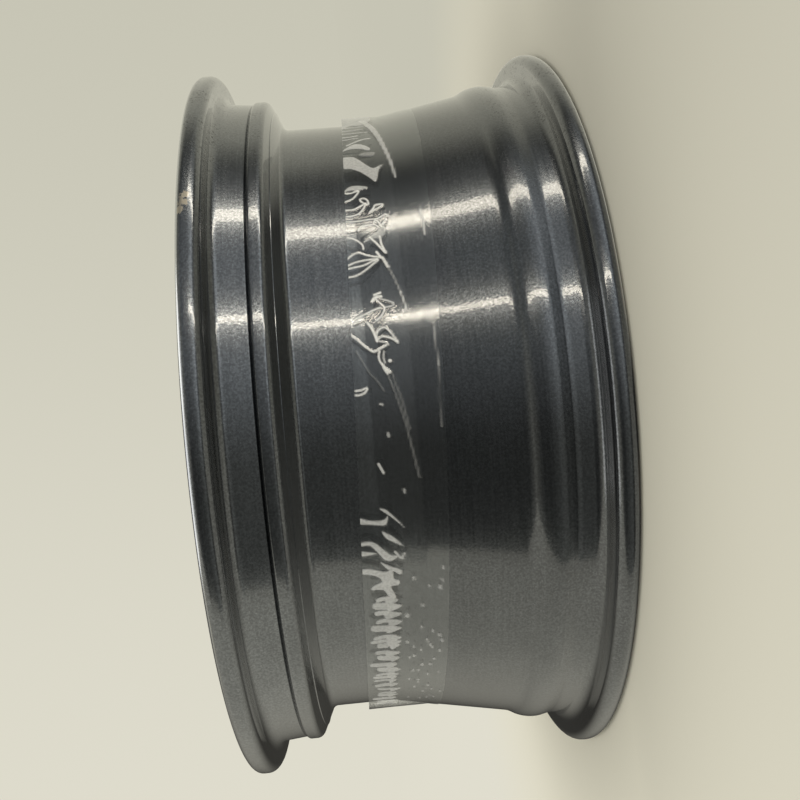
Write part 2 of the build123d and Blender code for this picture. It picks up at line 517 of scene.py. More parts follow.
def chain(bm: BMesh, points: Sequence[Point], closed: bool = False) -> list[BMEdge]:
    """A line of edges in the XZ plane.

    Args:
        bm: The mesh.
        points: Radius and height of each point.
        closed: Whether the last point joins the first.

    Returns:
        The edges.
    """
    verts = [bm.verts.new((r, 0.0, z)) for r, z in points]
    pairs = list(zip(verts, verts[1:]))
    if closed:
        pairs.append((verts[-1], verts[0]))
    return [bm.edges.new(pair) for pair in pairs]


def rotate_z(bm: BMesh, angle: float, verts: Sequence[BMVert]) -> None:
    """Turns geometry round the Z axis.

    Args:
        bm: The mesh.
        angle: The turn in radians.
        verts: What turns.
    """
    bmesh.ops.rotate(bm, cent=(0, 0, 0), matrix=Matrix.Rotation(angle, 3, "Z"), verts=verts)


def repeat_round(bm: BMesh, count: int) -> None:
    """Repeats what a mesh holds, evenly round the Z axis.

    Args:
        bm: The mesh.
        count: How many there are in the end.
    """
    pattern = [*bm.verts, *bm.edges, *bm.faces]
    for number in range(1, count):
        copy = bmesh.ops.duplicate(bm, geom=pattern)["geom"]
        verts = [item for item in copy if isinstance(item, BMVert)]
        rotate_z(bm, TAU / count * number, verts)


def spin_whole(bm: BMesh, edges: list[BMEdge], steps: int) -> None:
    """Turns a profile once round the Z axis and closes it, an eighth of a turn at a time.

    Args:
        bm: The mesh, in millimetres.
        edges: The profile.
        steps: How many steps the turn has.
    """
    verts = list({vert for edge in edges for vert in edge.verts})
    bmesh.ops.spin(
        bm,
        geom=[*verts, *edges],
        cent=(0, 0, 0),
        axis=(0, 0, 1),
        dvec=(0, 0, 0),
        angle=TAU / EIGHTHS,
        steps=steps // EIGHTHS,
        use_merge=False,
        use_duplicate=False,
    )
    repeat_round(bm, EIGHTHS)
    bmesh.ops.remove_doubles(bm, verts=bm.verts, dist=SPIN_MERGE_MM)
    bmesh.ops.recalc_face_normals(bm, faces=bm.faces)


def face_off(bm: BMesh, above: float, least: float) -> None:
    """Gives the turned finish to what looks to the front, above a height.

    Args:
        bm: The mesh.
        above: The height.
        least: The least part of a face's normal that points to the front.
    """
    for face in bm.faces:
        turned = face.normal.z > least and face.calc_center_median().z > above
        face.material_index = (Surface.TURNED if turned else Surface.COATED).value


def mesh_from(bm: BMesh, name: str, materials: Sequence[Material] = ()) -> Mesh:
    """Turns a bmesh in millimetres into a mesh in metres.

    Args:
        bm: The mesh, which is freed.
        name: The mesh's name.
        materials: Its materials in the order of Surface.

    Returns:
        The mesh.
    """
    bmesh.ops.scale(bm, vec=(MM, MM, MM), verts=bm.verts)
    mesh = bpy.data.meshes.new(name)
    bm.to_mesh(mesh)
    bm.free()
    for material in materials:
        mesh.materials.append(material)
    return mesh


def add_object(mesh: Mesh, name: str) -> Object:
    """Puts a mesh into the scene at the origin.

    Args:
        mesh: The mesh.
        name: The object's name.

    Returns:
        The object.
    """
    piece = bpy.data.objects.new(name, mesh)
    bpy.context.scene.collection.objects.link(piece)
    return piece


def cut(body: Mesh, cutters: Sequence[Mesh]) -> Mesh:
    """Takes cutters out of a body.

    Args:
        body: The closed mesh that is cut.
        cutters: Closed meshes, one after another.

    Returns:
        What is left, as a new mesh.
    """
    for cutter in cutters:
        whole, tool = add_object(body, "uncut"), add_object(cutter, "cutter")
        boolean = whole.modifiers.new("cut", "BOOLEAN")
        boolean.operation, boolean.solver, boolean.object = "DIFFERENCE", "MANIFOLD", tool
        graph = bpy.context.evaluated_depsgraph_get()
        body = bpy.data.meshes.new_from_object(whole.evaluated_get(graph))
        bpy.data.objects.remove(whole)
        bpy.data.objects.remove(tool)
    return body


def shade(mesh: Mesh, sharp_degrees: float) -> None:
    """Shades a mesh smooth, apart from the edges that turn by more than an angle.

    Args:
        mesh: The mesh.
        sharp_degrees: The angle.
    """
    bm = bmesh.new()
    bm.from_mesh(mesh)
    bmesh.ops.remove_doubles(bm, verts=bm.verts, dist=MERGE_M)
    limit = math.radians(sharp_degrees)
    for face in bm.faces:
        face.smooth = True
    for edge in bm.edges:
        edge.smooth = len(edge.link_faces) != 2 or edge.calc_face_angle(0.0) < limit
    bm.to_mesh(mesh)
    bm.free()


def hand_in(piece: Object, node: str) -> Object:
    """Makes a piece ride on the wheel and stand for a CAD node.

    Args:
        piece: The finished piece.
        node: The CAD node that it stands for.

    Returns:
        The piece.
    """
    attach(piece, BODY)
    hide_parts(node)
    LOG.info("%s has %d faces", piece.name, len(piece.data.polygons))
    return piece


def casting_piece(mesh: Mesh, name: str, sharp_degrees: float = 32.0) -> Object:
    """Shades a part of the casting and puts it in place.

    Args:
        mesh: The part's mesh.
        name: The piece's name.
        sharp_degrees: The least turn of a sharp edge.

    Returns:
        The piece.
    """
    shade(mesh, sharp_degrees)
    piece = add_object(mesh, name)
    weighted = piece.modifiers.new("weighted", "WEIGHTED_NORMAL")
    weighted.keep_sharp = True
    return hand_in(piece, WHEEL_NODE)


# Valve hole


@dataclass
class ValveHole:
    """The drilled hole for the valve, square to the front wall of the well. Millimetres."""

    angle: float = 90.0
    radius: float = 208.91
    height: float = 21.5
    tilt: float = 25.3
    hole_r: float = 5.75
    face_r: float = 9.0
    face_depth: float = 0.6
    pocket_r: float = 8.0
    edge_cut: float = 0.5
    wall: float = 5.0
    reach: float = 25.0
    steps: int = 48

    def cutter(self) -> Mesh:
        """The drill and its two spot facers as one turned cutter."""
        face, foot = -self.face_depth, -self.face_depth - self.wall
        points = [
            (0, foot - self.reach),
            (self.pocket_r, foot - self.reach),
            (self.pocket_r, foot),
            (self.hole_r + self.edge_cut, foot),
            (self.hole_r, foot + self.edge_cut),
            (self.hole_r, face - self.edge_cut),
            (self.hole_r + self.edge_cut, face),
            (self.face_r, face),
            (self.face_r, self.hole_r * 2),
            (0, self.hole_r * 2),
        ]
        bm = bmesh.new()
        spin_whole(bm, chain(bm, points), self.steps)
        turn, tilt = math.radians(self.angle), math.radians(self.tilt)
        outward = Vector(
            (math.sin(tilt) * math.cos(turn), math.sin(tilt) * math.sin(turn), -math.cos(tilt))
        )
        centre = Vector((self.radius * math.cos(turn), self.radius * math.sin(turn), self.height))
        matrix = Matrix.Translation(centre) @ outward.to_track_quat("Z", "Y").to_matrix().to_4x4()
        bmesh.ops.transform(bm, matrix=matrix, verts=bm.verts)
        return mesh_from(bm, "valve_cutter")


# Rim


@dataclass
class Rim:
    """The barrel between its two flanges, turned from one profile. Millimetres."""

    seat_r: float = 218.3
    flange_r: float = 235.8
    front_z: float = 66.75
    front_flank_z: float = 54.5
    back_flank_z: float = -134.5
    back_z: float = -146.75
    flange_root_round: float = 6.5
    flange_tip_round: float = 5.5
    front_edge_round: float = 4.2
    seat_slope: float = math.tan(math.radians(5.0))
    groove_inset: float = 19.2
    groove_width: float = 1.2
    groove_depth: float = 1.0
    front_hump_r: float = 218.22
    front_hump_width: float = 7.6
    well_r: float = 199.6
    well_wall_run: float = 8.8
    well_width: float = 38.5
    well_round: float = 4.0
    hump_foot_r: float = 213.7
    hump_foot_inset: float = 37.2
    hump_peak_inset: float = 27.7
    hump_end_inset: float = 13.5
    hump_rise: float = 1.7
    hump_round: float = 20.0
    front_lip_r: float = 223.0
    back_lip_r: float = 222.8
    inner_seat_r: float = 208.8
    inner_well_r: float = 193.6
    inner_foot_r: float = 207.7
    turned_depth: float = 2.2
    turned_least: float = 0.55
    steps: int = 384
    round_segments: int = 7

    def corners(self) -> list[Triple]:
        """Each corner of the section: its radius, its height and the round on it."""
        front, back, inner = self.front_flank_z, self.back_flank_z, self.inner_seat_r
        hump_start = self.groove_inset + self.groove_width * 1.5
        well_start = hump_start + self.front_hump_width + self.well_wall_run
        groove_r = self.seat_r - self.groove_inset * self.seat_slope
        groove_z = front - self.groove_inset
        foot_z = back + self.hump_foot_inset
        taper_z = front - well_start - self.well_width
        hump_end_r = self.seat_r - self.hump_end_inset * self.seat_slope
        return [
            (self.front_lip_r, self.front_z, 0.8),
            (self.flange_r, self.front_z, self.front_edge_round),
            (self.flange_r, front, self.flange_tip_round),
            (self.seat_r, front, self.flange_root_round),
            (groove_r, groove_z, 0.2),
            (groove_r - self.groove_depth, groove_z - self.groove_width / 2, 0),
            (self.front_hump_r, front - hump_start, 1.6),
            (self.front_hump_r, front - hump_start - self.front_hump_width, self.well_round),
            (self.well_r, front - well_start, self.well_round),
            (self.well_r, taper_z, 6.0),
            (self.hump_foot_r, foot_z, 14.0),
            (self.seat_r + self.hump_rise, back + self.hump_peak_inset, self.hump_round),
            (hump_end_r, back + self.hump_end_inset, 12.0),
            (self.seat_r, back, self.flange_root_round),
            (self.flange_r, back, self.flange_tip_round),
            (self.flange_r, self.back_z, self.flange_tip_round),
            (self.back_lip_r, self.back_z, 1.2),
            (inner, back + 1, 6.0),
            (inner, back + 24, 6.0),
            (self.inner_foot_r, foot_z - 1, 6.0),
            (self.inner_well_r, taper_z - 1, 6.0),
            (self.inner_well_r, front - well_start + 4, 5.0),
            (inner, front - well_start + 11, 2.0),
            (inner, front + 1.5, 0.6),
        ]

    def build(self, coat: Material, face: Material, valve: ValveHole) -> Object:
        """Turns the rim and drills it for the valve.

        Args:
            coat: The lacquered paint.
            face: The bare turned metal.
            valve: The valve hole.

        Returns:
            The piece.
        """
        bm = bmesh.new()
        chain(bm, [(r, z) for r, z, _ in self.corners()], True)
        bmesh.ops.contextual_create(bm, geom=bm.edges)
        verts = list(bm.verts)
        for vert, (_, _, radius) in zip(verts, self.corners()):
            if radius:
                round_corner(bm, vert, radius, self.round_segments if radius > 2 else 3)
        bmesh.ops.delete(bm, geom=list(bm.faces), context="FACES_ONLY")
        spin_whole(bm, list(bm.edges), self.steps)
        face_off(bm, self.front_z - self.turned_depth, self.turned_least)
        mesh = cut(mesh_from(bm, "rim", (coat, face)), [valve.cutter()])
        return casting_piece(mesh, "rim")


# Spoked disc


@dataclass
class Window:
    """An opening between two spokes, with its axis along X until it is turned. Millimetres."""

    edge: tuple[Point, Point]
    start_r: float
    end_r: float
    root_round: float
    tip_round: float
    turn: float
    start_steps: int = 2
    end_steps: int = 5
    round_segments: int = 8
    chord_mm: float = 8.0
    chord_slant: float = 0.5
    chord_cuts: int = 5

    def corner(self, radius: float) -> Point:
        """Where the straight edge crosses a circle round the axle.

        Args:
            radius: The circle's radius.

        Returns:
            The point, above the window's axis.
        """
        (x0, y0), (x1, y1) = self.edge
        along = Vector((x1 - x0, y1 - y0))
        start = Vector((x0, y0))
        half = start.dot(along) / along.length_squared
        rest = (start.length_squared - radius**2) / along.length_squared
        point = start + along * (math.sqrt(half**2 - rest) - half)
        return point.x, abs(point.y)

    def arc(self, bm: BMesh, radius: float, steps: int) -> tuple[BMVert, BMVert]:
        """One end of the outline, as an arc round the axle.

        Args:
            bm: The mesh.
            radius: The arc's radius.
            steps: How many edges it has.

        Returns:
            Its first and last vertex.
        """
        x, y = self.corner(radius)
        first = bm.verts.new((x, -y, 0))
        turned = bmesh.ops.spin(
            bm, geom=[first], cent=(0, 0, 0), axis=(0, 0, 1), angle=2 * math.atan2(y, x), steps=steps
        )
        last = next(item for item in turned["geom_last"] if isinstance(item, BMVert))
        return first, last

    def outline(self, bm: BMesh) -> BMFace:
        """The window's outline as a flat face with round corners.

        Args:
            bm: An empty mesh.

        Returns:
            The face.
        """
        inner = self.arc(bm, self.start_r, self.start_steps)
        outer = self.arc(bm, self.end_r, self.end_steps)
        for first, second in zip(inner, outer):
            bm.edges.new((first, second))
        bmesh.ops.contextual_create(bm, geom=bm.edges)
        for corners, radius in ((inner, self.root_round), (outer, self.tip_round)):
            for vert in corners:
                round_corner(bm, vert, radius, self.round_segments)
        bmesh.ops.delete(bm, geom=list(bm.faces), context="FACES_ONLY")
        self.bow(bm)
        return bmesh.ops.contextual_create(bm, geom=bm.edges)["faces"][0]

    def bow(self, bm: BMesh) -> None:
        """Bends the straight edges at the window's two ends into arcs round the axle.

        Args:
            bm: The mesh, which holds the outline as bare edges.
        """
        chords = {}
        for edge in bm.edges:
            first, second = (vert.co.copy() for vert in edge.verts)
            along, middle = (second - first).normalized(), (first + second).normalized()
            if edge.calc_length() > self.chord_mm and abs(along.dot(middle)) < self.chord_slant:
                chords[edge] = (first, second)
        ends = list(chords.values())
        cuts = bmesh.ops.subdivide_edges(bm, edges=list(chords), cuts=self.chord_cuts)
        for vert in (item for item in cuts["geom_inner"] if isinstance(item, BMVert)):
            first, second = min(ends, key=lambda pair: sum((vert.co - end).length for end in pair))
            share = (vert.co - first).length / (second - first).length
            radius = min((self.start_r, self.end_r), key=lambda r: abs(r - vert.co.length))
            rise = share * (1 - share) * (second - first).length_squared / (2 * radius)
            vert.co += vert.co.normalized() * rise


@dataclass
class SpokedDisc:
    """The dished disc between the rim and the hub, cut to five pairs of spokes. Millimetres."""

    disc_r: float = 210.8
    window_r: float = 206.0
    crown_tip_z: float = 56.25
    back_tip_z: float = 22.0
    back_root_z: float = 8.0
    bow: float = 3.5
    hub_height: float = 40.0
    hub_front_r: float = 78.0
    hub_pad_r: float = 73.0
    back_start_r: float = 76.0
    hub_bore_r: float = 33.3
    hub_bore_depth: float = 26.0
    cap_hole_r: float = 30.0
    cap_recess_r: float = 34.0
    cap_recess_depth: float = 3.0
    pairs: int = 5
    first_pair: float = -18.0
    root_r: float = 70.0
    tip_r: float = 205.0
    root_offset: float = 13.0
    tip_offset: float = 33.0
    root_width: float = 23.0
    tip_width: float = 20.0
    draft: float = math.tan(math.radians(5.0))
    wide_start_r: float = 86.0
    wide_rounds: Point = (14.0, 13.0)
    slim_start_r: float = 99.0
    slim_rounds: Point = (5.0, 9.0)
    bolt_circle_r: float = 56.0
    bolt_hole_r: float = 7.5
    bolt_seat_r: float = 13.0
    bolt_grip: float = 13.0
    bolt_seat_angle: float = 30.0
    bolt_edge: float = 0.6
    bolt_pocket_r: float = 16.0
    bolt_pocket_edge: float = 1.0
    pad_pocket_width: float = 18.0
    pad_pocket_arc: float = 24.0
    pad_pocket_depth: float = 7.0
    channel_width: float = 7.0
    channel_floor: float = 26.0
    channel_start_r: float = 104.0
    channel_end_r: float = 182.0
    slot_foot: float = -5.0
    slot_round: float = 1.5
    slot_segments: int = 24
    slot_cuts: int = 9
    bore_edge: float = 0.8
    cap_edge: float = 0.5
    recess_edge: float = 0.6
    edge_round: float = 1.3
    edge_angles: tuple[float, ...] = (0.0, 0.4, 0.8, 1.2, math.pi / 2)
    edge_gap: float = 0.12
    edge_reach: float = 1.2
    cutter_ends: Point = (-20.0, 90.0)
    turned_depth: float = 0.1
    turned_least: float = 0.9
    face_steps: int = 14
    hole_steps: int = 48
    steps: int = 240

    def height(self, r: float, start_r: float, ends: Point, bow: float) -> float:
        """Height of a bowed line at a radius.

        Args:
            r: The radius.
            start_r: Where the line starts, towards the hub.
            ends: Its height there and at the rim.
            bow: How far its middle is above the straight line.

        Returns:
            The height.
        """
        share = min(max((r - start_r) / (self.disc_r - start_r), 0.0), 1.0)
        return ends[0] + (ends[1] - ends[0]) * share + bow * (1 - (2 * share - 1) ** 2)

    def front_z(self, r: float) -> float:
        """Height of the front of the spokes at a radius."""
        return self.height(r, self.hub_front_r, (self.hub_height, self.crown_tip_z), -self.bow)

    def back_z(self, r: float) -> float:
        """Height of the back of the spokes at a radius."""
        return self.height(r, self.back_start_r, (self.back_root_z, self.back_tip_z), self.bow)

    def spoke_edge(self, r: float, side: float) -> float:
        """Distance of a spoke's edge from the axis of its pair, at a radius."""
        share = (r - self.root_r) / (self.tip_r - self.root_r)
        centre = self.root_offset + (self.tip_offset - self.root_offset) * share
        return centre + side * (self.root_width + (self.tip_width - self.root_width) * share) / 2

    def outer_edge(self, r: float) -> Point:
        """The outer edge of a spoke, seen from the axis of the wide window beside it."""
        half_pitch, lateral = math.pi / self.pairs, self.spoke_edge(r, 1)
        return (
            r * math.cos(half_pitch) + lateral * math.sin(half_pitch),
            r * math.sin(half_pitch) - lateral * math.cos(half_pitch),
        )

    def windows(self) -> tuple[Window, Window]:
        """The wide windows between the pairs and the slim ones within them."""
        near, far = self.root_r, self.edge_reach * self.tip_r
        wide = Window(
            (self.outer_edge(near), self.outer_edge(far)),
            self.wide_start_r,
            self.window_r,
            *self.wide_rounds,
            self.first_pair + 180 / self.pairs,
        )
        slim = Window(
            ((near, self.spoke_edge(near, -1)), (far, self.spoke_edge(far, -1))),
            self.slim_start_r,
            self.window_r,
            *self.slim_rounds,
            self.first_pair,
        )
        return wide, slim

    def body(self, coat: Material, face: Material) -> Mesh:
        """The disc before it is cut.

        Args:
            coat: The lacquered paint.
            face: The bare turned metal.

        Returns:
            The closed mesh.
        """
        rise = [i / self.face_steps for i in range(self.face_steps + 1)]
        front = [self.hub_front_r + (self.disc_r - self.hub_front_r) * t for t in rise]
        back = [self.disc_r + (self.back_start_r - self.disc_r) * t for t in rise]
        recess_z = self.hub_height - self.cap_recess_depth
        profile = [
            (self.hub_bore_r + self.bore_edge, 0),
            (self.hub_bore_r, self.bore_edge),
            (self.hub_bore_r, self.hub_bore_depth),
            (self.cap_hole_r, self.hub_bore_depth),
            (self.cap_hole_r, recess_z - self.cap_edge),
            (self.cap_hole_r + self.cap_edge, recess_z),
            (self.cap_recess_r, recess_z),
            (self.cap_recess_r, self.hub_height - self.recess_edge),
            (self.cap_recess_r + self.recess_edge, self.hub_height),
            *[(r, self.front_z(r)) for r in front],
            *[(r, self.back_z(r)) for r in back],
            (self.hub_pad_r, self.bore_edge),
            (self.hub_pad_r - self.bore_edge, 0),
        ]
        bm = bmesh.new()
        spin_whole(bm, chain(bm, profile, True), self.steps)
        face_off(bm, self.hub_height - self.turned_depth, self.turned_least)
        return mesh_from(bm, "disc", (coat, face))

    def window_cutter(self, window: Window) -> Mesh:
        """Five copies of a window as a drafted cutter with rounded lips at the front and back.

        Args:
            window: The window.

        Returns:
            The closed mesh.
        """
        bm = bmesh.new()
        face = window.outline(bm)
        flat = bm.verts.layers.float_vector.new("flat")
        outward = bm.verts.layers.float_vector.new("outward")
        for loop in face.loops:
            along = loop.link_loop_next.vert.co - loop.link_loop_prev.vert.co
            loop.vert[flat] = loop.vert.co
            loop.vert[outward] = along.normalized().cross(face.normal)
        lip, gap, (low, high) = self.edge_round, self.edge_gap, self.cutter_ends
        arc = [(lip * (1 - math.sin(a)), lip * (1 - math.cos(a))) for a in self.edge_angles]
        levels: list[tuple[float, Callable[[float], float]]] = [(lip, lambda r: low)]
        levels += [(out, lambda r, d=deep: self.back_z(r) + d + gap) for out, deep in arc]
        levels += [(out, lambda r, d=deep: self.front_z(r) - d - gap) for out, deep in reversed(arc)]
        levels += [(lip, lambda r: high)]
        for number, (out, height) in enumerate(levels):
            if number:
                made = bmesh.ops.extrude_face_region(bm, geom=[face, *face.edges])["geom"]
                face = next(item for item in made if isinstance(item, BMFace))
            for vert in face.verts:
                base = Vector(vert[flat])
                z, front = height(base.length), self.front_z(base.length)
                draft = (front - min(max(z, 0.0), front)) * self.draft
                moved = base + Vector(vert[outward]) * (out - draft)
                vert.co = (moved.x, moved.y, z)
        bmesh.ops.recalc_face_normals(bm, faces=bm.faces)
        self.repeat(bm, 0.0, window.turn)
        return mesh_from(bm, "window_cutter")

    def bolt_cutter(self) -> Mesh:
        """The bolt holes with their cone seats and pockets."""
        hole, pocket, top = self.bolt_hole_r, self.bolt_pocket_r, self.hub_height
        slope = math.tan(math.radians(self.bolt_seat_angle))
        cone_top = self.bolt_grip + (self.bolt_seat_r - hole) / slope
        edge = self.bolt_pocket_edge
        points = [
            (0, -9),
            (hole + self.bolt_edge, -9),
            (hole + self.bolt_edge, -0.1),
            (hole, self.bolt_edge),
            (hole, self.bolt_grip),
            (self.bolt_seat_r, cone_top),
            (pocket - edge, cone_top),
            (pocket, cone_top + edge),
            (pocket, top - edge),
            (pocket + 0.3, top - 0.4),
            (pocket + edge, top - 0.05),
            (pocket + edge, top + 20),
            (0, top + 20),
        ]
        bm = bmesh.new()
        spin_whole(bm, chain(bm, points), self.hole_steps)
        self.repeat(bm, self.bolt_circle_r, self.first_pair)
        return mesh_from(bm, "bolt_cutter")

    def repeat(self, bm: BMesh, radius: float, first: float) -> None:
        """Moves what a mesh holds out along X, and repeats it once for each pair of spokes.

        Args:
            bm: The mesh.
            radius: How far out it goes.
            first: The angle of the first copy.
        """
        bmesh.ops.translate(bm, vec=(radius, 0, 0), verts=bm.verts)
        rotate_z(bm, math.radians(first), bm.verts)
        repeat_round(bm, self.pairs)

    def slot_outline(self, bm: BMesh, length: float, width: float) -> BMFace:
        """A straight slot with round ends, lying along X.

        Args:
            bm: The mesh.
            length: The distance between the centres of its ends.
            width: Its width.

        Returns:
            The face.
        """
        segments = self.slot_segments
        verts = bmesh.ops.create_circle(bm, segments=segments, radius=width / 2)["verts"]
        rotate_z(bm, math.pi / segments, verts)
        for vert in verts:
            vert.co.x += math.copysign(length / 2, vert.co.x)
        long_edges = [edge for edge in bm.edges if edge.calc_length() > length * 0.9]
        bmesh.ops.subdivide_edges(bm, edges=long_edges, cuts=self.slot_cuts)
        return bmesh.ops.contextual_create(bm, geom=bm.edges)["faces"][0]

    def raise_slot(self, bm: BMesh, face: BMFace, high: float) -> None:
        """Makes a slot's face into a closed block with rounded top edges.

        Args:
            bm: The mesh.
            face: The slot's face.
            high: The block's top.
        """
        bmesh.ops.translate(bm, vec=(0, 0, self.slot_foot), verts=face.verts)
        made = bmesh.ops.extrude_face_region(bm, geom=[face])["geom"]
        top = next(item for item in made if isinstance(item, BMFace))
        bmesh.ops.translate(bm, vec=(0, 0, high - self.slot_foot), verts=top.verts)
        bmesh.ops.bevel(
            bm,
            geom=list(top.edges),
            offset=self.slot_round,
            segments=3,
            profile=0.5,
            affect="EDGES",
            material=-1,
            clamp_overlap=True,
        )
        bmesh.ops.recalc_face_normals(bm, faces=bm.faces)

    def channel_cutter(self, side: float) -> Mesh:
        """The channels along the backs of the spokes on one side of each pair.

        Args:
            side: One or minus one.

        Returns:
            The closed mesh.
        """
        radii = (self.channel_start_r, self.channel_end_r)
        start, end = (Vector((r, side * self.spoke_edge(r, 0))) for r in radii)
        bm = bmesh.new()
        face = self.slot_outline(bm, (end - start).length, self.channel_width)
        self.raise_slot(bm, face, self.channel_floor)
        rotate_z(bm, math.atan2(end.y - start.y, end.x - start.x), bm.verts)
        middle = (start + end) / 2
        bmesh.ops.translate(bm, vec=(0, middle.y, 0), verts=bm.verts)
        self.repeat(bm, middle.x, self.first_pair)
        return mesh_from(bm, "channel_cutter")

    def pad_cutter(self) -> Mesh:
        """The shallow curved pockets in the hub pad, between the bolt holes."""
        r = self.bolt_circle_r
        bm = bmesh.new()
        face = self.slot_outline(bm, math.radians(self.pad_pocket_arc) * r, self.pad_pocket_width)
        self.raise_slot(bm, face, self.pad_pocket_depth)
        for vert in bm.verts:
            angle, out = vert.co.x / r, r - vert.co.y
            vert.co.x, vert.co.y = out * math.cos(angle), out * math.sin(angle)
        bmesh.ops.recalc_face_normals(bm, faces=bm.faces)
        self.repeat(bm, 0.0, self.first_pair + 180 / self.pairs)
        return mesh_from(bm, "pad_cutter")

    def build(self, coat: Material, face: Material, valve: ValveHole) -> Object:
        """Cuts the disc to spokes and bores the hub.

        Args:
            coat: The lacquered paint.
            face: The bare turned metal.
            valve: The valve hole.

        Returns:
            The piece.
        """
        cutters = [self.window_cutter(window) for window in self.windows()]
        cutters += [self.bolt_cutter(), self.pad_cutter()]
        cutters += [self.channel_cutter(side) for side in (1.0, -1.0)]
        cutters += [valve.cutter()]
        return casting_piece(cut(self.body(coat, face), cutters), "spoked_disc")


# Tape


@dataclass(frozen=True)
class Mark:
    """A place where the film has let go of the metal: a crease, or a patch of trapped air.

    Each point has an angle, round from the top of the photograph, and an inset in millimetres
    from the tape's front edge. A curve runs through the points.
    """

    points: tuple[Point, ...]
    haze_and_glint: float = 1.0
    width: float = 0.9
    end_width: float = 0.9
    height: float = 0.15
    filled: bool = False

    def curve(self, steps: int = 4) -> np.ndarray:
        """The mark's curve as many short straight pieces.

        Args:
            steps: The number of pieces between two points.

        Returns:
            One row of angle and inset for each end of a piece.
        """
        points = np.array(self.points, float)
        if self.filled:
            padded = np.vstack((points[-1], points, points[0], points[1]))
        else:
            padded = np.vstack((points[0], points, points[-1]))
        t = np.arange(steps)[:, None] / steps
        rows = []
        for a, b, c, d in zip(padded, padded[1:], padded[2:], padded[3:]):
            bend = 2 * a - 5 * b + 4 * c - d
            rows.append(b + 0.5 * t * ((c - a) + t * (bend + t * (3 * (b - c) + d - a))))
        return np.vstack((*rows, padded[-2]))


def patch(*points: Point, haze_and_glint: float = 0.55, height: float = 0.35) -> Mark:
    """A patch of trapped air within an outline, painted pale: partly haze, partly painted reflection.

    Args:
        *points: Its outline.
        haze_and_glint: How pale it is, as haze and painted reflection.
        height: How far it stands up, in millimetres.

    Returns:
        The mark.
    """
    return Mark(points, haze_and_glint, height=height, filled=True)


def crease(*points: Point, haze_and_glint: float = 1.0, width: float = 0.9, end: float | None = None) -> Mark:
    """A crease along a curve, painted bright: partly haze, partly a painted highlight.

    Args:
        *points: The curve's points.
        haze_and_glint: How pale it is, as haze and painted highlight.
        width: Its width in millimetres.
        end: Its width at the last point, where that differs.

    Returns:
        The mark.
    """
    return Mark(points, haze_and_glint, width, width if end is None else end)


